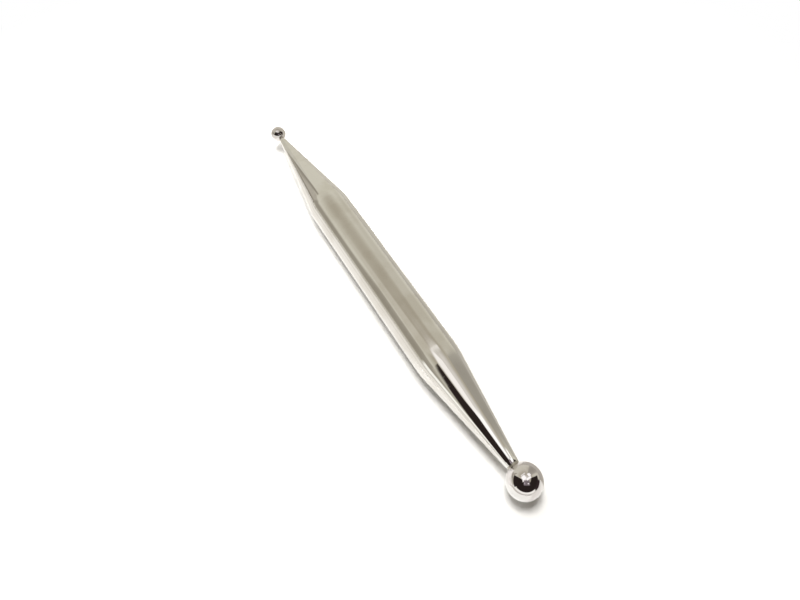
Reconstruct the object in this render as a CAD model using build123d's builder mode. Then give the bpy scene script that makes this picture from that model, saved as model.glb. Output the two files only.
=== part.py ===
from build123d import *

import os
from math import radians, sqrt, tan

# Double-ended embossing stylus, in millimetres.
# It lies on its barrel on the surface Z = 0, with its turning axis along X, one barrel radius up.
# The small ball is at the -X end and the large ball at the +X end.
# The origin is on that surface, halfway between the two ends.

# Handle, turned from one bar
barrel_diameter = 10.0
barrel_length = 50.0

# Large end
large_taper_length = 24.5
large_shoulder_blend_radius = 25.0
large_nose_diameter = 2.7
large_nose_chamfer = 0.05
large_ball_diameter = 7.0
large_stud_diameter = 1.5
large_stud_in_ball = 3.5
large_stud_in_handle = 8.0

# Small end
small_taper_length = 29.0
small_shoulder_blend_radius = 16.0
small_nose_diameter = 1.3
small_nose_chamfer = 0.08
small_ball_diameter = 4.0
small_stud_diameter = 0.6
small_stud_in_ball = 2.0
small_stud_in_handle = 5.0

# Soldered joints between the noses and the balls
solder_gap = 0.05
solder_film = 0.03
solder_hollow_share = 0.12
bore_end_clearance = 0.3
drill_point_angle = 118.0
stud_end_chamfer = 0.1

# Radii and stations along X that follow from the sizes above
barrel_radius = barrel_diameter / 2
overall_length = (
    small_ball_diameter
    + solder_gap
    + small_taper_length
    + barrel_length
    + large_taper_length
    + solder_gap
    + large_ball_diameter
)
small_nose_x = small_ball_diameter + solder_gap - overall_length / 2
small_shoulder_x = small_nose_x + small_taper_length
large_shoulder_x = small_shoulder_x + barrel_length
large_nose_x = large_shoulder_x + large_taper_length

# Each profile is drawn on a plane through the turning axis, with X along it and Y away from it.
turning_axis = Axis((0, 0, barrel_radius), (1, 0, 0))
turning_plane = Plane((0, 0, barrel_radius), x_dir=(1, 0, 0), z_dir=(0, -1, 0))


def bore_outline(mouth_x, direction, stud_diameter, depth):
    """Half section of a blind bore for a stud, drilled from mouth_x along +X or -X to a point."""
    bore_radius = stud_diameter / 2 + solder_film
    bottom_x = mouth_x + direction * (depth + bore_end_clearance)
    tip_x = bottom_x + direction * bore_radius / tan(radians(drill_point_angle / 2))
    return [(mouth_x, 0), (mouth_x, bore_radius), (bottom_x, bore_radius), (tip_x, 0)]


# Handle: the bar with its tapers, blended shoulders, chamfered noses and a bore in each nose
with BuildPart() as handle:
    with BuildSketch(turning_plane) as bar_outline:
        with BuildLine():
            Polyline(
                (small_nose_x, 0),
                (small_nose_x, small_nose_diameter / 2),
                (small_shoulder_x, barrel_radius),
                (large_shoulder_x, barrel_radius),
                (large_nose_x, large_nose_diameter / 2),
                (large_nose_x, 0),
                close=True,
            )
        make_face()
        small_shoulder = bar_outline.vertices().group_by(Axis.Y)[-1].sort_by(Axis.X)[0]
        fillet(small_shoulder, radius=small_shoulder_blend_radius)
        large_shoulder = bar_outline.vertices().group_by(Axis.Y)[-1].sort_by(Axis.X)[-1]
        fillet(large_shoulder, radius=large_shoulder_blend_radius)
        small_nose_corner = bar_outline.vertices().group_by(Axis.X)[0].sort_by(Axis.Y)[-1]
        chamfer(small_nose_corner, length=small_nose_chamfer)
        large_nose_corner = bar_outline.vertices().group_by(Axis.X)[-1].sort_by(Axis.Y)[-1]
        chamfer(large_nose_corner, length=large_nose_chamfer)
    revolve(axis=turning_axis)
    with BuildSketch(turning_plane):
        with BuildLine():
            Polyline(
                *bore_outline(small_nose_x, 1, small_stud_diameter, small_stud_in_handle),
                close=True,
            )
        make_face()
        with BuildLine():
            Polyline(
                *bore_outline(large_nose_x, -1, large_stud_diameter, large_stud_in_handle),
                close=True,
            )
        make_face()
    revolve(axis=turning_axis, mode=Mode.SUBTRACT)


def make_ball(nose_x, direction, diameter, stud_diameter, depth):
    """A ball with a blind bore that opens on the side of its nose."""
    pole_x = nose_x + direction * solder_gap
    center_x = pole_x + direction * diameter / 2
    with BuildPart() as ball:
        with BuildSketch(turning_plane):
            with BuildLine():
                CenterArc((center_x, 0), diameter / 2, 0, 180)
                Line((center_x - diameter / 2, 0), (center_x + diameter / 2, 0))
            make_face()
        revolve(axis=turning_axis)
        with BuildSketch(turning_plane):
            with BuildLine():
                Polyline(*bore_outline(pole_x, direction, stud_diameter, depth), close=True)
            make_face()
        revolve(axis=turning_axis, mode=Mode.SUBTRACT)
    return ball


def make_stud(nose_x, direction, stud_diameter, in_ball, in_handle):
    """The dowel pin that runs from the bore in the nose to the bore in the ball."""
    radius = stud_diameter / 2
    handle_end_x = nose_x - direction * in_handle
    ball_end_x = nose_x + direction * (solder_gap + in_ball)
    with BuildPart() as stud:
        with BuildSketch(turning_plane) as half_section:
            with BuildLine():
                Polyline(
                    (handle_end_x, 0),
                    (handle_end_x, radius),
                    (ball_end_x, radius),
                    (ball_end_x, 0),
                    close=True,
                )
            make_face()
            end_corners = half_section.vertices().group_by(Axis.Y)[-1]
            chamfer(end_corners, length=stud_end_chamfer)
        revolve(axis=turning_axis)
    return stud


def make_solder_ring(nose_x, direction, nose_diameter, nose_chamfer, ball_diameter, stud_diameter):
    """The ring of solder from the flat of the nose to the ball, hollow on its outside."""
    ball_radius = ball_diameter / 2
    center_x = nose_x + direction * (solder_gap + ball_radius)
    inner_radius = stud_diameter / 2
    nose_side_radius = nose_diameter / 2 - nose_chamfer
    ball_side_radius = nose_diameter / 2

    def on_ball(radius):
        """The point of the ball's surface, on the side of the nose, at this distance from the axis."""
        return (center_x - direction * sqrt(ball_radius**2 - radius**2), radius)

    outer_x = on_ball(ball_side_radius)[0]
    hollow = solder_hollow_share * abs(outer_x - nose_x)
    with BuildPart() as ring:
        with BuildSketch(turning_plane):
            with BuildLine():
                Line((nose_x, inner_radius), (nose_x, nose_side_radius))
                ThreePointArc(
                    (nose_x, nose_side_radius),
                    ((nose_x + outer_x) / 2, (nose_side_radius + ball_side_radius) / 2 - hollow),
                    on_ball(ball_side_radius),
                )
                ThreePointArc(
                    on_ball(ball_side_radius),
                    on_ball((inner_radius + ball_side_radius) / 2),
                    on_ball(inner_radius),
                )
                Line(on_ball(inner_radius), (nose_x, inner_radius))
            make_face()
        revolve(axis=turning_axis)
    return ring


# Large ball, its stud and its solder ring
large_ball = make_ball(
    large_nose_x, 1, large_ball_diameter, large_stud_diameter, large_stud_in_ball
)
large_ball_stud = make_stud(
    large_nose_x, 1, large_stud_diameter, large_stud_in_ball, large_stud_in_handle
)
large_solder_ring = make_solder_ring(
    large_nose_x,
    1,
    large_nose_diameter,
    large_nose_chamfer,
    large_ball_diameter,
    large_stud_diameter,
)

# Small ball, its stud and its solder ring
small_ball = make_ball(
    small_nose_x, -1, small_ball_diameter, small_stud_diameter, small_stud_in_ball
)
small_ball_stud = make_stud(
    small_nose_x, -1, small_stud_diameter, small_stud_in_ball, small_stud_in_handle
)
small_solder_ring = make_solder_ring(
    small_nose_x,
    -1,
    small_nose_diameter,
    small_nose_chamfer,
    small_ball_diameter,
    small_stud_diameter,
)

# One file for each piece, named as the piece is
pieces = {
    "handle": handle,
    "large_ball": large_ball,
    "large_ball_stud": large_ball_stud,
    "large_solder_ring": large_solder_ring,
    "small_ball": small_ball,
    "small_ball_stud": small_ball_stud,
    "small_solder_ring": small_solder_ring,
}
os.makedirs("parts", exist_ok=True)
for name, piece in pieces.items():
    piece.part.label = name
    export_step(piece.part, f"parts/{name}.step")
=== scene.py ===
"""Double-ended embossing stylus in polished stainless steel, on a pale studio floor.

The stylus lies on its barrel with its turning axis along X, the large ball at +X.
Sizes in the classes are millimetres and angles are degrees; meshes are built in metres.
"""

import logging
import math
from collections.abc import Callable
from dataclasses import dataclass
from enum import Enum
from typing import Any

import bpy
from mathutils import Matrix, Vector


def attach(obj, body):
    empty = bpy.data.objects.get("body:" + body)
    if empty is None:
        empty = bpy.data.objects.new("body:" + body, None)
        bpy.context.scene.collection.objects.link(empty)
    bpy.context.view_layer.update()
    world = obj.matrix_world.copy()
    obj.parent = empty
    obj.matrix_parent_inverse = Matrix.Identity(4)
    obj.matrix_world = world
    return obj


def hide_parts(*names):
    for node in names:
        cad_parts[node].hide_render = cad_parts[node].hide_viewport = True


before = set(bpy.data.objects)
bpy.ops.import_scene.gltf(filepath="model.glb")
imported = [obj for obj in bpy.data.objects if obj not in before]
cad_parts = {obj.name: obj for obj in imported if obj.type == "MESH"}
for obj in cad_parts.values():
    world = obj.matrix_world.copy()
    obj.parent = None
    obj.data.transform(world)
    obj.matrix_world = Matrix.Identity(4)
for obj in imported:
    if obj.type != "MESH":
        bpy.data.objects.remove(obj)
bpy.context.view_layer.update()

BODY = "root"

MM = 0.001
BARREL_DIAMETER = 10.0
# The stylus lies on its barrel, so its turning axis is one barrel radius over the floor.
AXIS_HEIGHT = BARREL_DIAMETER / 2

# The sRGB standard's curve: a straight foot up to a knee, and a power above it
SRGB_FULL = 255
SRGB_KNEE = 0.04045
SRGB_FOOT = 12.92
SRGB_OFFSET = 0.055
SRGB_POWER = 2.4

Pair = tuple[float, float]
Triple = tuple[float, float, float]
Tree = bpy.types.NodeTree
Node = bpy.types.Node
Socket = bpy.types.NodeSocket
Material = bpy.types.Material

log = logging.getLogger("stylus")


def to_linear(hex_color: str) -> tuple[float, float, float, float]:
    """Turns an sRGB hex colour into Blender's linear colour.

    Args:
        hex_color: Six hex digits, red first.

    Returns:
        The linear red, green, blue and an alpha of one.
    """
    channels = [int(hex_color[i : i + 2], 16) / SRGB_FULL for i in (0, 2, 4)]
    red, green, blue = (
        value / SRGB_FOOT
        if value <= SRGB_KNEE
        else ((value + SRGB_OFFSET) / (1 + SRGB_OFFSET)) ** SRGB_POWER
        for value in channels
    )
    return (red, green, blue, 1.0)


def add_node(
    tree: Tree, kind: str, inputs: dict[str | int, Any] | None = None, **settings: Any
) -> Node:
    """Adds a node with its settings, its socket values and its links.

    Args:
        tree: The tree that the node joins.
        kind: Blender's type name of the node.
        inputs: A value or another node's output for each named or numbered input.
        settings: Properties of the node.

    Returns:
        The new node.
    """
    node = tree.nodes.new(kind)
    for name, value in settings.items():
        setattr(node, name, value)
    for socket, value in (inputs or {}).items():
        if isinstance(value, Socket):
            tree.links.new(value, node.inputs[socket])
        else:
            node.inputs[socket].default_value = value
    return node


def start_metal(name: str) -> tuple[Material, Node]:
    """Makes a new metal that has no colour or marks of its own yet.

    Args:
        name: The material's name.

    Returns:
        The material and its shader node.
    """
    material = bpy.data.materials.new(name)
    material.use_nodes = True
    shader = material.node_tree.nodes["Principled BSDF"]
    shader.inputs["Metallic"].default_value = 1.0
    return material, shader


def mark_metal(
    tree: Tree,
    marks: Socket,
    tones: tuple[str, str],
    roughness: Pair,
    levels: Pair = (0.0, 1.0),
) -> Socket:
    """Lets a pattern of marks drive a metal's colour and roughness.

    Args:
        tree: The metal's tree.
        marks: The pattern, from zero to one.
        tones: The sRGB hex colours of clean and marked metal.
        roughness: The roughness of clean and marked metal.
        levels: The pattern's levels where the roughness is lowest and highest.

    Returns:
        The roughness, which is already linked to the shader.
    """
    shader = tree.nodes["Principled BSDF"]
    clean, marked = (to_linear(tone) for tone in tones)
    tone = add_node(
        tree, "ShaderNodeMix", {"Factor": marks, "A": clean, "B": marked}, data_type="RGBA"
    )
    tree.links.new(tone.outputs["Result"], shader.inputs["Base Color"])
    rough = add_node(
        tree,
        "ShaderNodeMapRange",
        {
            "Value": marks,
            "From Min": levels[0],
            "From Max": levels[1],
            "To Min": roughness[0],
            "To Max": roughness[1],
        },
    )
    tree.links.new(rough.outputs["Result"], shader.inputs["Roughness"])
    return rough.outputs["Result"]


class Slot(Enum):
    """The record's material slots, one for each kind of new piece."""

    HANDLE = "handle_steel"
    BALL = "ball_steel"
    SOLDER = "silver_solder"


@dataclass(frozen=True)
class PolishedStainless:
    """Stainless bar, turned in a lathe and then buffed on a wheel to a mirror.

    The eye gets sharp reflections of the room, faint rings round the axis where the tool passed,
    hairlines from use, and a haze of handling that softens some patches.
    """

    name: str
    # Where the steel is clean, and where handling has dulled it
    tints: tuple[str, str]
    roughness: Pair
    # Tool marks lie 0.1 mm apart; 0.35 to 0.45 mm is as fine as the render can show.
    ring_pitch: float
    ring_depth: float
    hairline_length: float
    hairline_width: float
    hairline_depth: float
    haze_patch: float
    center_x: float = 0.0
    ring_detail: float = 3.0
    ring_grain: float = 0.6
    # The hairlines run a little off square to the axis, turned about Y and about Z.
    hairline_turn: Pair = (4.0, 7.0)
    hairline_detail: float = 2.0
    hairline_grain: float = 0.7
    # Only the peaks of the noise, between these two levels, become hairlines.
    hairline_levels: Pair = (0.62, 0.74)
    hairline_roughness: float = 0.05
    haze_detail: float = 4.0
    haze_grain: float = 0.55
    haze_levels: Pair = (0.42, 0.68)

    def make(self) -> Material:
        """Builds the material.

        Returns:
            A node material on Object coordinates, centred on the turning axis.
        """
        material, shader = start_metal(self.name)
        tree = material.node_tree
        place = add_node(tree, "ShaderNodeTexCoord")
        centered = add_node(
            tree,
            "ShaderNodeMapping",
            {
                "Vector": place.outputs["Object"],
                "Location": (-self.center_x * MM, 0.0, -AXIS_HEIGHT * MM),
            },
        ).outputs["Vector"]
        rings = self.draw_rings(tree, centered)
        hairlines = self.draw_hairlines(tree, centered)
        haze = self.draw_haze(tree, centered)
        hazy = mark_metal(tree, haze, self.tints, self.roughness)
        scratched = add_node(
            tree,
            "ShaderNodeMath",
            {0: hairlines, 1: self.hairline_roughness, 2: hazy},
            operation="MULTIPLY_ADD",
        )
        tree.links.new(scratched.outputs["Value"], shader.inputs["Roughness"])
        ring_bump = add_node(
            tree, "ShaderNodeBump", {"Height": rings, "Distance": self.ring_depth * MM}
        )
        hairline_bump = add_node(
            tree,
            "ShaderNodeBump",
            {
                "Height": hairlines,
                "Normal": ring_bump.outputs["Normal"],
                "Distance": self.hairline_depth * MM,
            },
            invert=True,
        )
        tree.links.new(hairline_bump.outputs["Normal"], shader.inputs["Normal"])
        return material

    def draw_rings(self, tree: Tree, place: Socket) -> Socket:
        """Draws the rings that the lathe's tool left round the axis.

        Args:
            tree: The material's tree.
            place: The place on the piece, from its centre on the axis.

        Returns:
            The rings' height, from zero to one.
        """
        axes = add_node(tree, "ShaderNodeSeparateXYZ", {"Vector": place})
        noise = add_node(
            tree,
            "ShaderNodeTexNoise",
            {
                "W": axes.outputs["X"],
                "Scale": 1 / (self.ring_pitch * MM),
                "Detail": self.ring_detail,
                "Roughness": self.ring_grain,
            },
            noise_dimensions="1D",
        )
        return noise.outputs["Fac"]

    def draw_hairlines(self, tree: Tree, place: Socket) -> Socket:
        """Draws the fine scratches that use leaves round the piece.

        Args:
            tree: The material's tree.
            place: The place on the piece, from its centre on the axis.

        Returns:
            The hairlines, one where the steel is scratched and zero elsewhere.
        """
        along = 1 / (self.hairline_width * MM)
        around = 1 / (self.hairline_length * MM)
        about_y, about_z = (math.radians(angle) for angle in self.hairline_turn)
        # The mapping scales the place, so the noise itself keeps a scale of one.
        stretched = add_node(
            tree,
            "ShaderNodeMapping",
            {
                "Vector": place,
                "Rotation": (0.0, about_y, about_z),
                "Scale": (along, around, around),
            },
        )
        noise = add_node(
            tree,
            "ShaderNodeTexNoise",
            {
                "Vector": stretched.outputs["Vector"],
                "Scale": 1.0,
                "Detail": self.hairline_detail,
                "Roughness": self.hairline_grain,
            },
        )
        start, full = self.hairline_levels
        marks = add_node(
            tree,
            "ShaderNodeMapRange",
            {"Value": noise.outputs["Fac"], "From Min": start, "From Max": full},
            interpolation_type="SMOOTHSTEP",
        )
        return marks.outputs["Result"]

    def draw_haze(self, tree: Tree, place: Socket) -> Socket:
        """Draws the patches that handling has dulled.

        Args:
            tree: The material's tree.
            place: The place on the piece, from its centre on the axis.

        Returns:
            The haze, from zero to one.
        """
        noise = add_node(
            tree,
            "ShaderNodeTexNoise",
            {
                "Vector": place,
                "Scale": 1 / (self.haze_patch * MM),
                "Detail": self.haze_detail,
                "Roughness": self.haze_grain,
            },
        )
        start, full = self.haze_levels
        marks = add_node(
            tree,
            "ShaderNodeMapRange",
            {"Value": noise.outputs["Fac"], "From Min": start, "From Max": full},
            interpolation_type="SMOOTHSTEP",
        )
        return marks.outputs["Result"]


@dataclass(frozen=True)
class SilverSolder:
    """Silver solder, melted into the joint and left as it flowed.

    The eye gets a soft, slightly yellow metal with small ripples, duller than the steel.
    """

    name: str = "silver_solder_as_flowed"
    tones: tuple[str, str] = ("C9C5BB", "9C968A")
    roughness: Pair = (0.22, 0.42)
    # Flow ripples in a joint this small are 0.1 mm apart.
    ripple: float = 0.1
    ripple_depth: float = 0.004
    ripple_detail: float = 3.0
    ripple_distortion: float = 0.6
    # The levels of the noise where the roughness is lowest and highest
    levels: Pair = (0.3, 0.7)

    def make(self) -> Material:
        """Builds the material.

        Returns:
            A node material on Object coordinates.
        """
        material, shader = start_metal(self.name)
        tree = material.node_tree
        place = add_node(tree, "ShaderNodeTexCoord")
        flow = add_node(
            tree,
            "ShaderNodeTexNoise",
            {
                "Vector": place.outputs["Object"],
                "Scale": 1 / (self.ripple * MM),
                "Detail": self.ripple_detail,
                "Distortion": self.ripple_distortion,
            },
        ).outputs["Fac"]
        mark_metal(tree, flow, self.tones, self.roughness, self.levels)
        bump = add_node(
            tree, "ShaderNodeBump", {"Height": flow, "Distance": self.ripple_depth * MM}
        )
        tree.links.new(bump.outputs["Normal"], shader.inputs["Normal"])
        return material


@dataclass(frozen=True)
class GroundPinSteel:
    """Hardened dowel pin, ground between wheels without a centre.

    The eye gets a satin grey with fine rings round the pin.
    """

    name: str = "ground_pin_steel"
    tones: tuple[str, str] = ("BDBBB6", "96948F")
    roughness: Pair = (0.2, 0.36)
    # Grinding lines of 0.02 mm are drawn at 0.08 mm, the finest that can show.
    line_pitch: float = 0.08
    line_depth: float = 0.001
    line_detail: float = 4.0
    # The levels of the noise where the roughness is lowest and highest
    levels: Pair = (0.3, 0.7)

    def make(self) -> Material:
        """Builds the material.

        Returns:
            A node material on Object coordinates.
        """
        material, shader = start_metal(self.name)
        tree = material.node_tree
        place = add_node(tree, "ShaderNodeTexCoord")
        axes = add_node(tree, "ShaderNodeSeparateXYZ", {"Vector": place.outputs["Object"]})
        lines = add_node(
            tree,
            "ShaderNodeTexNoise",
            {
                "W": axes.outputs["X"],
                "Scale": 1 / (self.line_pitch * MM),
                "Detail": self.line_detail,
            },
            noise_dimensions="1D",
        ).outputs["Fac"]
        mark_metal(tree, lines, self.tones, self.roughness, self.levels)
        bump = add_node(
            tree, "ShaderNodeBump", {"Height": lines, "Distance": self.line_depth * MM}
        )
        tree.links.new(bump.outputs["Normal"], shader.inputs["Normal"])
        return material


@dataclass(frozen=True)
class Station:
    """One ring of a turned profile: its place along X and its radius about the axis."""

    x: float
    radius: float


@dataclass
class TurnedPiece:
    """A mesh shaped ring by ring about the stylus's axis, as on a lathe."""

    name: str
    segments: int
    obj: bpy.types.Object | None = None
    last: Station | None = None
    # A ring this close to a station is the ring that was turned there.
    slack: float = 0.001
    weld_distance: float = 0.0001
    # A bevel with this profile is a part of a circle.
    round_profile: float = 0.5
    # Large faces set the shading, so that small rounded edges stay smooth beside them.
    face_weight: int = 100

    def start(self, station: Station) -> None:
        """Adds the first ring and opens it for editing.

        Args:
            station: Where the profile begins.
        """
        bpy.ops.object.select_all(action="DESELECT")
        bpy.ops.mesh.primitive_circle_add(
            vertices=self.segments,
            radius=station.radius * MM,
            fill_type="NOTHING",
            location=(station.x * MM, 0.0, AXIS_HEIGHT * MM),
            rotation=(0.0, math.pi / 2, 0.0),
        )
        self.adopt_active()
        self.last = station
        bpy.ops.object.mode_set(mode="EDIT")
        bpy.ops.mesh.select_mode(type="EDGE")
        bpy.ops.mesh.select_all(action="SELECT")

    def start_ball(self, center_x: float, radius: float, mouth_side: int) -> None:
        """Adds a ball whose poles lie on the turning axis and opens it for editing.

        Args:
            center_x: The ball's centre along X.
            radius: The ball's radius.
            mouth_side: Minus one or one, the side along X that will be drilled.
        """
        bpy.ops.object.select_all(action="DESELECT")
        bpy.ops.mesh.primitive_uv_sphere_add(
            segments=self.segments,
            ring_count=self.segments // 2,
            radius=radius * MM,
            location=(center_x * MM, 0.0, AXIS_HEIGHT * MM),
            rotation=(0.0, mouth_side * math.pi / 2, 0.0),
        )
        self.adopt_active()
        bpy.ops.object.mode_set(mode="EDIT")
        bpy.ops.mesh.select_mode(type="EDGE")

    def adopt_active(self) -> None:
        """Names the new primitive and puts its place into its mesh."""
        self.obj = bpy.context.active_object
        self.obj.name = self.name
        self.obj.data.name = self.name
        bpy.ops.object.transform_apply(location=True, rotation=True, scale=True)

    def select(self, inside: Callable[[Vector], bool]) -> None:
        """Selects the edges and faces whose every corner passes a test of place.

        Args:
            inside: Says of a corner, in millimetres from the axis origin, whether it is in.
        """
        bpy.ops.mesh.select_all(action="DESELECT")
        bpy.ops.object.mode_set(mode="OBJECT")
        mesh = self.obj.data
        for vertex in mesh.vertices:
            spot = vertex.co / MM
            spot.z -= AXIS_HEIGHT
            vertex.select = inside(spot)
        for edge in mesh.edges:
            edge.select = all(mesh.vertices[i].select for i in edge.vertices)
        for face in mesh.polygons:
            face.select = all(mesh.vertices[i].select for i in face.vertices)
        bpy.ops.object.mode_set(mode="EDIT")

    def select_ring(self, station: Station) -> None:
        """Selects the ring of edges at a station.

        Args:
            station: The ring's place and radius.
        """
        self.select(
            lambda spot: abs(spot.x - station.x) < self.slack
            and abs(math.hypot(spot.y, spot.z) - station.radius) < self.slack
        )
        self.last = station

    def selected_ring(self) -> Station:
        """Reads the place and radius of the ring that is selected.

        Returns:
            The ring's station, in millimetres.
        """
        bpy.ops.object.mode_set(mode="OBJECT")
        ring = [vertex.co for vertex in self.obj.data.vertices if vertex.select]
        bpy.ops.object.mode_set(mode="EDIT")
        spot = ring[0] / MM
        return Station(spot.x, math.hypot(spot.y, spot.z - AXIS_HEIGHT))

    def turn_to(self, station: Station) -> None:
        """Extrudes the selected ring to the next station of the profile.

        Args:
            station: The next ring.
        """
        bpy.ops.mesh.extrude_region_move(
            TRANSFORM_OT_translate={"value": ((station.x - self.last.x) * MM, 0.0, 0.0)}
        )
        self.scale_ring(station)

    def scale_ring(self, station: Station) -> None:
        """Opens or closes the selected ring to a station's radius.

        Args:
            station: The ring's place and its new radius.
        """
        share = station.radius / self.last.radius
        bpy.ops.transform.resize(
            value=(1.0, share, share),
            center_override=(station.x * MM, 0.0, AXIS_HEIGHT * MM),
        )
        self.last = station

    def close_at(self, tip_x: float) -> None:
        """Closes the selected ring in a point on the axis, as a drill leaves it.

        Args:
            tip_x: Where the point lies along X.
        """
        bpy.ops.mesh.extrude_region_move(
            TRANSFORM_OT_translate={"value": ((tip_x - self.last.x) * MM, 0.0, 0.0)}
        )
        bpy.ops.mesh.merge(type="CENTER")

    def round_ring(self, station: Station, offset: float, steps: int) -> None:
        """Rounds the ring of edges at a station with a tangent arc.

        Args:
            station: The sharp ring.
            offset: How far the arc starts from the ring, along the surface.
            steps: The number of faces in the arc.
        """
        self.select_ring(station)
        bpy.ops.mesh.bevel(
            offset_type="OFFSET",
            offset=offset * MM,
            segments=steps,
            profile=self.round_profile,
            affect="EDGES",
        )

    def add_loop(self, x: float) -> None:
        """Cuts one more ring of edges into the piece, so that long faces keep their true slope.

        Args:
            x: Where the ring lies.
        """
        bpy.ops.mesh.select_all(action="SELECT")
        bpy.ops.mesh.bisect(plane_co=(x * MM, 0.0, 0.0), plane_no=(1.0, 0.0, 0.0))

    def finish(self, material: Material, crease: float) -> bpy.types.Object:
        """Merges doubles, turns all faces outwards, smooths the surface and dresses it.

        Args:
            material: The piece's finish.
            crease: Edges sharper than this stay crisp, in degrees.

        Returns:
            The finished object, at the origin with its place in its mesh.
        """
        bpy.ops.mesh.select_mode(type="VERT")
        bpy.ops.mesh.select_all(action="SELECT")
        bpy.ops.mesh.remove_doubles(threshold=self.weld_distance * MM)
        bpy.ops.mesh.normals_make_consistent(inside=False)
        bpy.ops.mesh.select_all(action="DESELECT")
        bpy.ops.object.mode_set(mode="OBJECT")
        bpy.ops.object.shade_smooth_by_angle(angle=math.radians(crease))
        bpy.ops.object.modifier_add(type="WEIGHTED_NORMAL")
        weighting = self.obj.modifiers[-1]
        weighting.keep_sharp = True
        weighting.weight = self.face_weight
        bpy.ops.object.modifier_apply(modifier=weighting.name)
        self.obj.data.materials.append(material)
        return self.obj


@dataclass(frozen=True)
class Stud:
    """The dowel pin of one end, which sets the blind bores in its nose and ball."""

    diameter: float
    in_ball: float
    in_handle: float
    # The solder round the pin, and the room past each of its ends
    film: float = 0.03
    end_room: float = 0.3
    drill_point_angle: float = 118.0

    @property
    def radius(self) -> float:
        """The pin's radius."""
        return self.diameter / 2

    @property
    def bore_radius(self) -> float:
        """The radius of both bores."""
        return self.radius + self.film

    @property
    def point_length(self) -> float:
        """How far the drill's point reaches past the full bore."""
        return self.bore_radius / math.tan(math.radians(self.drill_point_angle / 2))


@dataclass(frozen=True)
class StylusEnd:
    """The sizes that the handle, the ball and the solder share at one end of the stylus."""

    label: str
    # The shoulders are placed so that both ends lie equally far from the origin.
    shoulder_x: float
    taper_length: float
    blend_radius: float
    nose_diameter: float
    nose_chamfer: float
    ball_diameter: float
    stud: Stud
    # The solder between the flat of the nose and the ball
    gap: float = 0.05

    @property
    def side(self) -> int:
        """One at the +X end and minus one at the -X end."""
        return 1 if self.shoulder_x > 0 else -1

    @property
    def nose_x(self) -> float:
        """Where the flat of the nose lies along X."""
        return self.shoulder_x + self.side * self.taper_length

    @property
    def nose_radius(self) -> float:
        """The nose's radius before its chamfer."""
        return self.nose_diameter / 2

    @property
    def flat_radius(self) -> float:
        """The radius of the flat that the chamfer leaves on the nose."""
        return self.nose_radius - self.nose_chamfer

    def slope(self, barrel_radius: float) -> float:
        """The taper's angle to the axis, in radians."""
        return math.atan((barrel_radius - self.nose_radius) / self.taper_length)

    def blend_offset(self, barrel_radius: float) -> float:
        """How far from the shoulder its rounding starts, along the surface."""
        return self.blend_radius * math.tan(self.slope(barrel_radius) / 2)

    def outline(self, barrel_radius: float) -> list[Station]:
        """The handle's rings from the bore's bottom out to the shoulder.

        Args:
            barrel_radius: The radius of the bar.

        Returns:
            The bottom and mouth of the bore, both edges of the chamfer, and the shoulder.
        """
        rise = self.nose_chamfer * math.tan(self.slope(barrel_radius))
        bottom_x = self.nose_x - self.side * (self.stud.in_handle + self.stud.end_room)
        return [
            Station(bottom_x, self.stud.bore_radius),
            Station(self.nose_x, self.stud.bore_radius),
            Station(self.nose_x, self.flat_radius),
            Station(self.nose_x - self.side * self.nose_chamfer, self.nose_radius + rise),
            Station(self.shoulder_x, barrel_radius),
        ]


@dataclass
class Handle:
    """The steel handle: a round bar with a long taper to a bored nose at each end."""

    large_end: StylusEnd
    small_end: StylusEnd
    barrel_diameter: float = BARREL_DIAMETER
    segments: int = 192
    shoulder_steps: int = 14
    # The wear on each edge of a nose, as a share of the nose's radius
    edge_wear: float = 0.012
    wear_steps: int = 2
    # Rings that hold the faces' slope, as shares of the taper and of the way to the shoulder
    taper_loops: tuple[float, ...] = (0.12, 0.5, 0.96)
    barrel_loop: float = 0.88
    crease: float = 20.0
    finish: PolishedStainless = PolishedStainless(
        name="stainless_turned_and_buffed",
        tints=("DBD9D5", "D2CFC9"),
        roughness=(0.035, 0.075),
        ring_pitch=0.45,
        ring_depth=0.00012,
        hairline_length=6.0,
        hairline_width=0.12,
        hairline_depth=0.0003,
        haze_patch=7.0,
    )

    def build(self) -> bpy.types.Object:
        """Turns the handle and dresses it.

        Returns:
            The handle.
        """
        radius = self.barrel_diameter / 2
        small = self.small_end.outline(radius)
        large = self.large_end.outline(radius)
        bar = TurnedPiece("handle_bar", self.segments)
        bar.start(small[0])
        for station in small[1:] + large[::-1]:
            bar.turn_to(station)
        bar.close_at(large[0].x - self.large_end.stud.point_length)
        bar.select_ring(small[0])
        bar.close_at(small[0].x + self.small_end.stud.point_length)
        for end, rings in ((self.small_end, small), (self.large_end, large)):
            _, _, face_edge, chamfer_edge, shoulder = rings
            bar.round_ring(shoulder, end.blend_offset(radius), self.shoulder_steps)
            for edge in (face_edge, chamfer_edge):
                bar.round_ring(edge, self.edge_wear * end.nose_radius, self.wear_steps)
            toward_nose = end.nose_x - end.shoulder_x
            for share in self.taper_loops:
                bar.add_loop(end.shoulder_x + share * toward_nose)
            bar.add_loop(end.shoulder_x * self.barrel_loop)
        bar.add_loop(0.0)
        return bar.finish(self.finish.make(), self.crease)


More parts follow.
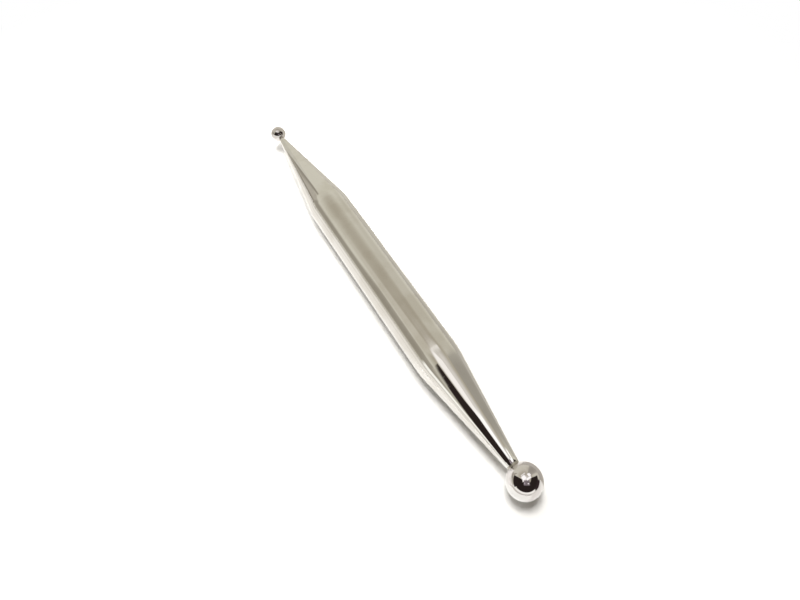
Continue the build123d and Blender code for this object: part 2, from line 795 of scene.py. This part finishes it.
@dataclass
class BallEnd:
    """The ball of one end, and the solder that holds it to its nose."""

    end: StylusEnd
    # How deep the solder's outside is hollowed, as a share of its width
    hollow_share: float = 0.12
    ball_segments: int = 160
    ring_segments: int = 128
    # The faces across the solder's hollow, and across its seat on the ball
    solder_steps: int = 8
    ball_crease: float = 30.0
    solder_crease: float = 35.0
    # Marks on a smaller ball are smaller too: their size as shares of its diameter
    hairline_share: float = 0.4
    haze_share: float = 0.5

    @property
    def ball_radius(self) -> float:
        """The ball's radius."""
        return self.end.ball_diameter / 2

    @property
    def center_x(self) -> float:
        """The ball's centre along X."""
        return self.end.nose_x + self.end.side * (self.end.gap + self.ball_radius)

    def on_ball(self, radius: float) -> Station:
        """The ring of the ball, on the side of the nose, at a distance from the axis."""
        reach = math.sqrt(self.ball_radius**2 - radius**2)
        return Station(self.center_x - self.end.side * reach, radius)

    def finish(self) -> PolishedStainless:
        """The ball's finish: lapped harder and smoother than the handle.

        Returns:
            The finish, scaled to the ball.
        """
        return PolishedStainless(
            name=f"stainless_lapped_{self.end.label}_ball",
            tints=("D6D2D1", "CDC9C7"),
            roughness=(0.02, 0.05),
            ring_pitch=0.35,
            ring_depth=0.00005,
            hairline_length=self.hairline_share * self.end.ball_diameter,
            hairline_width=0.09,
            hairline_depth=0.0002,
            haze_patch=self.haze_share * self.end.ball_diameter,
            center_x=self.center_x,
        )

    def build_ball(self) -> bpy.types.Object:
        """Makes the ball, drills it on the side of the nose and dresses it.

        Returns:
            The ball.
        """
        side = self.end.side
        stud = self.end.stud
        ball = TurnedPiece(f"{self.end.label}_ball_polished", self.ball_segments)
        ball.start_ball(self.center_x, self.ball_radius, -side)
        ball.select(
            lambda spot: (spot.x - self.center_x) * side < 0
            and math.hypot(spot.y, spot.z) < stud.bore_radius
        )
        bpy.ops.mesh.delete(type="VERT")
        bpy.ops.mesh.select_non_manifold()
        mouth = self.on_ball(stud.bore_radius)
        rim = ball.selected_ring()
        bpy.ops.transform.translate(value=((mouth.x - rim.x) * MM, 0.0, 0.0))
        ball.last = Station(mouth.x, rim.radius)
        ball.scale_ring(mouth)
        bottom_x = self.end.nose_x + side * (self.end.gap + stud.in_ball + stud.end_room)
        ball.turn_to(Station(bottom_x, stud.bore_radius))
        ball.close_at(bottom_x + side * stud.point_length)
        return ball.finish(self.finish().make(), self.ball_crease)

    def build_solder(self, material: Material) -> bpy.types.Object:
        """Runs the ring of solder from the flat of the nose to the ball.

        Args:
            material: The solder's finish.

        Returns:
            The ring of solder.
        """
        inner_radius = self.end.stud.radius
        start = Station(self.end.nose_x, inner_radius)
        foot = Station(self.end.nose_x, self.end.flat_radius)
        crest = self.on_ball(self.end.nose_radius)
        hollow = self.hollow_share * abs(crest.x - foot.x)
        shares = [step / self.solder_steps for step in range(1, self.solder_steps + 1)]
        ring = TurnedPiece(f"{self.end.label}_solder_fillet", self.ring_segments)
        ring.start(start)
        ring.turn_to(foot)
        for share in shares:
            # A parabola that is as deep as the hollow halfway and nothing at both ends
            dip = 4 * hollow * share * (1 - share)
            across = foot.x + share * (crest.x - foot.x)
            ring.turn_to(Station(across, foot.radius + share * (crest.radius - foot.radius) - dip))
        for share in shares:
            ring.turn_to(self.on_ball(crest.radius + share * (inner_radius - crest.radius)))
        ring.turn_to(start)
        return ring.finish(material, self.solder_crease)


@dataclass
class Stylus:
    """The whole tool: handle, large end and small end."""

    large_end: StylusEnd = StylusEnd(
        label="large",
        shoulder_x=25.75,
        taper_length=24.5,
        blend_radius=25.0,
        nose_diameter=2.7,
        nose_chamfer=0.05,
        ball_diameter=7.0,
        stud=Stud(diameter=1.5, in_ball=3.5, in_handle=8.0),
    )
    small_end: StylusEnd = StylusEnd(
        label="small",
        shoulder_x=-24.25,
        taper_length=29.0,
        blend_radius=16.0,
        nose_diameter=1.3,
        nose_chamfer=0.08,
        ball_diameter=4.0,
        stud=Stud(diameter=0.6, in_ball=2.0, in_handle=5.0),
    )

    def build(self) -> None:
        """Builds and dresses every piece, and reports each one."""
        handle = Handle(self.large_end, self.small_end)
        self.place(handle.build(), "handle", Slot.HANDLE)
        solder = SilverSolder().make()
        for end in (self.large_end, self.small_end):
            ball_end = BallEnd(end)
            self.place(ball_end.build_ball(), f"{end.label}_ball", Slot.BALL)
            self.place(ball_end.build_solder(solder), f"{end.label}_solder_ring", Slot.SOLDER)
        pin_steel = GroundPinSteel().make()
        for end in (self.large_end, self.small_end):
            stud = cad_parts[f"{end.label}_ball_stud"]
            for slot in stud.material_slots:
                slot.material = pin_steel
            log.info("%s keeps its CAD shape, dressed in %s", stud.name, pin_steel.name)

    @staticmethod
    def place(piece: bpy.types.Object, node: str, slot: Slot) -> None:
        """Ties a piece to the CAD body and node that it stands for.

        Args:
            piece: The finished piece.
            node: The CAD node that it replaces.
            slot: The record's slot for the piece's finish; not used.
        """
        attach(piece, BODY)
        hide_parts(node)
        log.info("%s replaces %s: %d faces", piece.name, node, len(piece.data.polygons))


class SeenBy(Enum):
    """What sees a piece of the set, with Blender's names of the rays that pass it by."""

    CAMERA = ("glossy", "diffuse", "transmission", "shadow")
    STEEL = ("camera", "diffuse", "transmission", "shadow")
    FLOOR = ("camera", "glossy")

    def apply(self, obj: bpy.types.Object) -> None:
        """Hides a piece of the set from everything else.

        Args:
            obj: The piece of the set.
        """
        for ray in self.value:
            setattr(obj, f"visible_{ray}", False)


class Facing(Enum):
    """Which way a card's width runs, and which way its height runs."""

    LEVEL = ((1.0, 0.0, 0.0), (0.0, 1.0, 0.0))
    LEVEL_TURNED = ((0.91, -0.42, 0.0), (0.42, 0.91, 0.0))
    UPRIGHT = ((1.0, 0.0, 0.0), (0.0, 0.0, 1.0))
    UPRIGHT_TURNED = ((0.931, -0.366, 0.0), (0.0, 0.0, 1.0))
    FROM_CAMERA = ((0.533, 0.846, 0.0), (-0.683, 0.430, 0.590))
    LEANING = ((0.845, -0.451, -0.291), (0.257, -0.137, 0.957))


@dataclass(frozen=True)
class Card:
    """A flat glowing card beside the set that only the polished steel sees: a painted reflection,
    hidden from the camera and casting no shadow.
    """

    name: str
    center: Triple
    width: float
    height: float
    # The width over which the card fades out at its edges
    softness: float
    color: str
    facing: Facing = Facing.LEVEL


@dataclass(frozen=True)
class SkyPatch:
    """A soft-edged patch of the room round the stylus, placed by its direction."""

    azimuth: float
    elevation: float
    half_width: float
    half_height: float
    edge: float
    color: str
    # Degrees that the patch shifts in azimuth for each degree above its centre
    lean: float = 0.0


@dataclass(frozen=True)
class Softbox:
    """A square light that faces the floor."""

    name: str
    center: Triple
    size: float
    watts: float


@dataclass
class Studio:
    """Pale floor, soft overhead light and the plain room that the steel mirrors."""

    floor_color: str = "CBCAC8"
    floor_shade: str = "C6C5C3"
    floor_roughness: float = 0.7
    # The floor's faint patches of the two tones are this wide.
    mottle: float = 50.0
    mottle_detail: float = 3.0
    floor_radius: float = 1500.0
    floor_segments: int = 96
    backdrop_color: str = "FFFFFF"
    backdrop_radius: float = 1400.0
    backdrop_segments: int = 64
    # The sweep lies this high over the floor, and turns from clear to white between two radii.
    sweep_lift: float = 0.3
    sweep_start: float = 85.0
    sweep_full: float = 170.0
    # The colours of room and cards are given as the steel shows them.
    steel_share: float = 0.69
    wall_low: str = "C6C3B7"
    wall_high: str = "A49E90"
    # The elevations between which the walls turn from the one colour to the other
    wall_climb: Pair = (30.0, 60.0)
    # Azimuth, elevation, half the width and height, edge and colour
    patches: tuple[SkyPatch, ...] = (
        SkyPatch(115.0, 34.0, 20.0, 22.0, 8.0, "B9B5A9"),
        SkyPatch(-130.0, 52.0, 14.0, 13.0, 5.0, "BAB5A9"),
        SkyPatch(-110.0, 25.0, 16.0, 8.0, 3.0, "9A958A"),
        SkyPatch(-118.0, 14.0, 27.0, 10.0, 5.0, "948F84"),
        SkyPatch(-151.0, 13.0, 9.0, 10.0, 3.0, "ABA69C"),
        SkyPatch(-150.0, 2.0, 12.0, 4.0, 2.0, "8E897E"),
        SkyPatch(-157.0, 20.0, 2.5, 9.0, 1.5, "8C877C", lean=-0.55),
        SkyPatch(0.0, 90.0, 180.0, 18.0, 12.0, "CFCBC6"),
        SkyPatch(-90.0, 79.0, 52.0, 14.0, 5.0, "F1EEEC"),
        SkyPatch(-45.0, 4.0, 60.0, 8.0, 3.0, "F6F6F1"),
        SkyPatch(-9.0, 36.5, 84.0, 24.0, 2.0, "28211F", lean=-0.2),
        SkyPatch(-56.0, 50.0, 23.0, 18.0, 1.5, "28211F"),
        SkyPatch(40.0, 4.0, 23.0, 14.0, 4.0, "33292A"),
    )
    # A row is a level card: its name, centre, width, height, softness and colour.
    cards: tuple[Card, ...] = (
        Card("white_card_overhead", (-9.5, 4.0, 115.0), 29.0, 84.0, 14.0, "E4E1DD"),
        Card("white_card_over_large_ball", (47.5, -3.5, 35.0), 17.0, 17.0, 4.0, "FFFFFF"),
        Card("white_card_beside_large_ball", (57.0, 9.0, 35.1), 8.0, 20.0, 2.0, "FFFFFF"),
        Card("white_card_low_by_large_ball", (51.5, 7.5, 20.0), 6.0, 7.0, 1.5, "FFFFFF"),
        Card(
            "grey_card_by_camera",
            center=(90.6, -15.3, 105.9),
            width=76.0,
            height=67.0,
            softness=10.0,
            color="766D71",
            facing=Facing.FROM_CAMERA,
        ),
        Card(
            "lilac_card_by_camera",
            center=(81.6, -39.4, 99.4),
            width=24.0,
            height=30.0,
            softness=12.0,
            color="B0A7AE",
            facing=Facing.FROM_CAMERA,
        ),
        Card(
            "white_spot_by_camera",
            center=(104.5, -6.0, 96.8),
            width=17.0,
            height=13.0,
            softness=3.0,
            color="FFFFFF",
            facing=Facing.FROM_CAMERA,
        ),
        Card(
            "dark_card_by_large_ball",
            center=(48.2, -22.7, 35.5),
            width=25.0,
            height=51.0,
            softness=1.0,
            color="28211F",
            facing=Facing.LEANING,
        ),
        Card(
            "grey_card_behind_taper",
            center=(34.5, 54.0, 49.0),
            width=50.0,
            height=107.0,
            softness=16.0,
            color="97938A",
            facing=Facing.UPRIGHT,
        ),
        Card(
            "light_card_past_small_end",
            center=(-80.0, -7.5, 15.0),
            width=31.0,
            height=30.0,
            softness=2.0,
            color="BDBAB0",
            facing=Facing.UPRIGHT_TURNED,
        ),
        # Painted light: a glowing sheet over the large ball's shadow, so the steel mirrors lit
        # floor where the floor is shaded.
        Card("painted_light_over_large_ball_shadow", (66.5, -17.0, 0.15), 41.0, 34.0, 5.0, "FAFBF6"),
        # Painted floor tones: glowing sheets on the floor that the steel mirrors in place of the
        # lit floor, each in its own tone.
        Card("painted_floor_tone_by_barrel", (-37.0, -17.5, 0.05), 126.0, 33.0, 10.0, "EAE7E2"),
        Card("painted_floor_tone_past_barrel", (-14.5, -48.0, 0.12), 121.0, 56.0, 8.0, "E4E1DB"),
        Card("painted_floor_tone_near_side", (-40.0, -165.0, 0.1), 300.0, 300.0, 25.0, "C8C4BE"),
        Card("painted_floor_tone_far_side", (-130.0, 152.0, 0.1), 240.0, 300.0, 2.0, "C0BCB2"),
        Card("painted_floor_tone_far_middle", (5.0, 152.0, 0.15), 90.0, 300.0, 14.0, "B6B2A8"),
        Card(
            "painted_floor_tone_behind_large_ball",
            center=(35.8, 193.2, 0.2),
            width=200.0,
            height=330.0,
            softness=2.0,
            color="AFABA3",
            facing=Facing.LEVEL_TURNED,
        ),
    )
    softboxes: tuple[Softbox, ...] = (
        Softbox("overhead_softbox", center=(-80.0, -20.0, 700.0), size=220.0, watts=7.2),
        Softbox("small_end_fill", center=(-75.0, 0.0, 95.0), size=170.0, watts=0.19),
    )

    def build(self) -> None:
        """Sets up the floor, the backdrop, the sweep, the room, the lights and the cards."""
        self.build_floor()
        self.build_backdrop()
        self.build_sweep()
        self.build_world()
        for softbox in self.softboxes:
            self.build_softbox(softbox)
        for card in self.cards:
            self.build_card(card)
        bpy.context.scene.view_settings.view_transform = "Standard"

    def lay_disc(self, name: str, lift: float) -> bpy.types.Object:
        """Lays a round sheet as wide as the floor.

        Args:
            name: The sheet's name.
            lift: How high over the floor it lies.

        Returns:
            The sheet.
        """
        bpy.ops.object.select_all(action="DESELECT")
        bpy.ops.mesh.primitive_circle_add(
            vertices=self.floor_segments,
            radius=self.floor_radius * MM,
            fill_type="NGON",
            location=(0.0, 0.0, lift * MM),
        )
        sheet = bpy.context.active_object
        sheet.name = name
        log.info("%s laid", sheet.name)
        return sheet

    def build_floor(self) -> None:
        """Lays the pale floor: matt laminate, which the eye takes as one even tone."""
        material = bpy.data.materials.new("matt_white_laminate")
        material.use_nodes = True
        tree = material.node_tree
        shader = tree.nodes["Principled BSDF"]
        shader.inputs["Roughness"].default_value = self.floor_roughness
        place = add_node(tree, "ShaderNodeTexCoord")
        mottle = add_node(
            tree,
            "ShaderNodeTexNoise",
            {
                "Vector": place.outputs["Object"],
                "Scale": 1 / (self.mottle * MM),
                "Detail": self.mottle_detail,
            },
        )
        tone = add_node(
            tree,
            "ShaderNodeMix",
            {
                "Factor": mottle.outputs["Fac"],
                "A": to_linear(self.floor_color),
                "B": to_linear(self.floor_shade),
            },
            data_type="RGBA",
        )
        tree.links.new(tone.outputs["Result"], shader.inputs["Base Color"])
        self.lay_disc("studio_floor", 0.0).data.materials.append(material)

    def build_backdrop(self) -> None:
        """Hangs a white backdrop round the set that only the camera sees."""
        bpy.ops.object.select_all(action="DESELECT")
        bpy.ops.mesh.primitive_uv_sphere_add(
            segments=self.backdrop_segments,
            ring_count=self.backdrop_segments // 2,
            radius=self.backdrop_radius * MM,
        )
        backdrop = bpy.context.active_object
        backdrop.name = "studio_backdrop"
        backdrop.data.materials.append(self.glow("backdrop_white", self.backdrop_color))
        SeenBy.CAMERA.apply(backdrop)
        log.info("%s hung", backdrop.name)

    def build_sweep(self) -> None:
        """Lays a white sweep over the far floor, where the overhead light falls off."""
        material = self.glow("sweep_white", self.backdrop_color)
        tree = material.node_tree
        place = add_node(tree, "ShaderNodeTexCoord")
        reach = add_node(
            tree, "ShaderNodeVectorMath", {0: place.outputs["Object"]}, operation="LENGTH"
        )
        cover = add_node(
            tree,
            "ShaderNodeMapRange",
            {
                "Value": reach.outputs["Value"],
                "From Min": self.sweep_start * MM,
                "From Max": self.sweep_full * MM,
            },
            interpolation_type="SMOOTHSTEP",
        )
        self.clear_where_masked(tree, cover.outputs["Result"])
        sweep = self.lay_disc("studio_sweep", self.sweep_lift)
        sweep.data.materials.append(material)
        SeenBy.CAMERA.apply(sweep)

    @staticmethod
    def glow(name: str, color: str, strength: float = 1.0) -> Material:
        """Makes an evenly lit material for a backdrop or a card.

        Args:
            name: The material's name.
            color: Its sRGB hex colour.
            strength: How bright it is.

        Returns:
            The material.
        """
        material = bpy.data.materials.new(name)
        material.use_nodes = True
        tree = material.node_tree
        tree.nodes.clear()
        light = add_node(
            tree, "ShaderNodeEmission", {"Color": to_linear(color), "Strength": strength}
        )
        add_node(tree, "ShaderNodeOutputMaterial", {"Surface": light.outputs["Emission"]})
        return material

    @staticmethod
    def clear_where_masked(tree: Tree, cover: Socket) -> None:
        """Lets a glow fade to clear air.

        Args:
            tree: The glow's tree.
            cover: How much of the glow shows, from zero to one.
        """
        surface = tree.nodes["Material Output"].inputs["Surface"]
        lit = surface.links[0].from_socket
        clear = add_node(tree, "ShaderNodeBsdfTransparent")
        faded = add_node(tree, "ShaderNodeMixShader", {0: cover, 1: clear.outputs["BSDF"], 2: lit})
        tree.links.new(faded.outputs["Shader"], surface)

    def build_card(self, card: Card) -> None:
        """Stands one card beside the set.

        Args:
            card: The card's place, size and colour.
        """
        bpy.ops.object.select_all(action="DESELECT")
        along_width, along_height = (Vector(direction) for direction in card.facing.value)
        across = along_width.normalized()
        normal = across.cross(along_height).normalized()
        turn = Matrix((across, normal.cross(across), normal)).transposed().to_euler()
        bpy.ops.mesh.primitive_plane_add(
            size=1.0, location=Vector(card.center) * MM, rotation=turn
        )
        obj = bpy.context.active_object
        obj.name = card.name
        obj.scale = (card.width * MM, card.height * MM, 1.0)
        obj.data.materials.append(self.soft_edged(card))
        SeenBy.STEEL.apply(obj)
        log.info("%s stood up", obj.name)

    def soft_edged(self, card: Card) -> Material:
        """Makes a card's material, which fades out at the card's edges.

        Args:
            card: The card's size, softness and colour.

        Returns:
            The material, patterned on the card's own UV map.
        """
        material = self.glow(card.name, card.color, 1 / self.steel_share)
        tree = material.node_tree
        place = add_node(tree, "ShaderNodeTexCoord")
        axes = add_node(tree, "ShaderNodeSeparateXYZ", {"Vector": place.outputs["UV"]})
        sides = []
        for axis, size in (("X", card.width), ("Y", card.height)):
            # UV runs from zero to one, so the middle and half the width are both a half.
            from_middle = add_node(
                tree, "ShaderNodeMath", {0: axes.outputs[axis], 1: 0.5}, operation="SUBTRACT"
            )
            half_fade = card.softness / size / 2
            sides.append((from_middle.outputs["Value"], 0.5 - half_fade, half_fade))
        self.clear_where_masked(tree, self.soft_rectangle(tree, sides))
        return material

    @staticmethod
    def soft_rectangle(
        tree: Tree, sides: list[tuple[Socket, float, float]]
    ) -> Socket:
        """Builds a mask that is one inside a rectangle and fades out across its edges.

        Args:
            tree: The tree that the nodes join.
            sides: For both directions the distance from the rectangle's middle, where along it
                the mask is halfway down, and how far before and after that it fades.

        Returns:
            The mask, from zero to one.
        """
        masks = []
        for distance, half, edge in sides:
            size = add_node(tree, "ShaderNodeMath", {0: distance}, operation="ABSOLUTE")
            mask = add_node(
                tree,
                "ShaderNodeMapRange",
                {"Value": size.outputs["Value"], "From Min": half + edge, "From Max": half - edge},
                interpolation_type="SMOOTHSTEP",
            )
            masks.append(mask.outputs["Result"])
        both = add_node(tree, "ShaderNodeMath", dict(enumerate(masks)), operation="MULTIPLY")
        return both.outputs["Value"]

    @staticmethod
    def build_softbox(softbox: Softbox) -> None:
        """Hangs a softbox that lights the floor and doesn't show in the steel.

        Args:
            softbox: The light's place, size and power.
        """
        bpy.ops.object.light_add(type="AREA", location=Vector(softbox.center) * MM)
        light = bpy.context.active_object
        light.name = softbox.name
        light.data.shape = "SQUARE"
        light.data.size = softbox.size * MM
        light.data.energy = softbox.watts
        SeenBy.FLOOR.apply(light)
        log.info("%s hung", light.name)

    def build_world(self) -> None:
        """Paints the room by direction: walls, overhead light, and the dark side of the room."""
        world = bpy.data.worlds.new("studio_room")
        bpy.context.scene.world = world
        world.use_nodes = True
        tree = world.node_tree
        tree.nodes.clear()
        place = add_node(tree, "ShaderNodeTexCoord")
        direction = add_node(
            tree, "ShaderNodeVectorMath", {0: place.outputs["Generated"]}, operation="NORMALIZE"
        ).outputs["Vector"]
        axes = add_node(tree, "ShaderNodeSeparateXYZ", {"Vector": direction})
        elevation = add_node(
            tree, "ShaderNodeMath", {0: axes.outputs["Z"]}, operation="ARCSINE"
        ).outputs["Value"]
        low, high = (math.radians(angle) for angle in self.wall_climb)
        climb = add_node(
            tree,
            "ShaderNodeMapRange",
            {"Value": elevation, "From Min": low, "From Max": high},
            interpolation_type="SMOOTHSTEP",
        )
        color = add_node(
            tree,
            "ShaderNodeMix",
            {
                "Factor": climb.outputs["Result"],
                "A": to_linear(self.wall_low),
                "B": to_linear(self.wall_high),
            },
            data_type="RGBA",
        )
        for patch in self.patches:
            mask = self.patch_mask(tree, patch, direction, elevation)
            color = add_node(
                tree,
                "ShaderNodeMix",
                {"Factor": mask, "A": color.outputs["Result"], "B": to_linear(patch.color)},
                data_type="RGBA",
            )
        background = add_node(
            tree,
            "ShaderNodeBackground",
            {"Color": color.outputs["Result"], "Strength": 1 / self.steel_share},
        )
        add_node(tree, "ShaderNodeOutputWorld", {"Surface": background.outputs["Background"]})
        log.info("room painted with %d patches", len(self.patches))

    def patch_mask(
        self,
        tree: Tree,
        patch: SkyPatch,
        direction: Socket,
        elevation: Socket,
    ) -> Socket:
        """Builds the mask of one patch of the room.

        Args:
            tree: The world's tree.
            patch: The patch's place, size and edge, in degrees.
            direction: The direction looked in, as a unit vector.
            elevation: The elevation of that direction, in radians.

        Returns:
            The mask, one inside the patch and zero outside.
        """
        turned = add_node(
            tree,
            "ShaderNodeVectorRotate",
            {"Vector": direction, "Angle": -math.radians(patch.azimuth)},
            rotation_type="Z_AXIS",
        )
        parts = add_node(tree, "ShaderNodeSeparateXYZ", {"Vector": turned.outputs["Vector"]})
        azimuth = add_node(
            tree,
            "ShaderNodeMath",
            {0: parts.outputs["Y"], 1: parts.outputs["X"]},
            operation="ARCTAN2",
        )
        lift = add_node(
            tree,
            "ShaderNodeMath",
            {0: elevation, 1: math.radians(patch.elevation)},
            operation="SUBTRACT",
        ).outputs["Value"]
        leaned = add_node(
            tree,
            "ShaderNodeMath",
            {0: lift, 1: -patch.lean, 2: azimuth.outputs["Value"]},
            operation="MULTIPLY_ADD",
        ).outputs["Value"]
        edge = math.radians(patch.edge)
        return self.soft_rectangle(
            tree,
            [
                (leaned, math.radians(patch.half_width), edge),
                (lift, math.radians(patch.half_height), edge),
            ],
        )


@dataclass(frozen=True)
class PhotoCamera:
    """The camera at the photograph's place: close, high, on the large ball's side."""

    position: Triple = (66.503, -31.445, 114.473)
    # Which way the camera looks round Z, and how far down
    yaw: float = 147.8025
    pitch: float = 53.8722
    sensor: float = 36.0
    lens: float = 25.746
    shift_x: float = -0.02
    shift_y: float = -0.0625
    nearest: float = 1.0

    def build(self) -> None:
        """Creates the camera and makes it the scene's camera."""
        yaw = math.radians(self.yaw)
        pitch = math.radians(self.pitch)
        ahead = Vector(
            (
                math.cos(pitch) * math.cos(yaw),
                math.cos(pitch) * math.sin(yaw),
                -math.sin(pitch),
            )
        )
        right = Vector((math.sin(yaw), -math.cos(yaw), 0.0))
        up = right.cross(ahead)
        turn = Matrix((right, up, -ahead)).transposed().to_4x4()
        data = bpy.data.cameras.new("photo_camera")
        data.sensor_width = self.sensor
        data.lens = self.lens
        data.shift_x = self.shift_x
        data.shift_y = self.shift_y
        data.clip_start = self.nearest * MM
        data.dof.use_dof = False
        camera = bpy.data.objects.new("photo_camera", data)
        bpy.context.scene.collection.objects.link(camera)
        camera.matrix_world = Matrix.Translation(Vector(self.position) * MM) @ turn
        bpy.context.scene.camera = camera
        log.info("camera placed %.0f mm above the floor", self.position[2])


def main() -> None:
    """Builds the camera, the studio and the stylus in order."""
    logging.basicConfig(level=logging.INFO, format="%(name)s: %(message)s")
    PhotoCamera().build()
    Studio().build()
    Stylus().build()


if __name__ == "__main__":
    main()
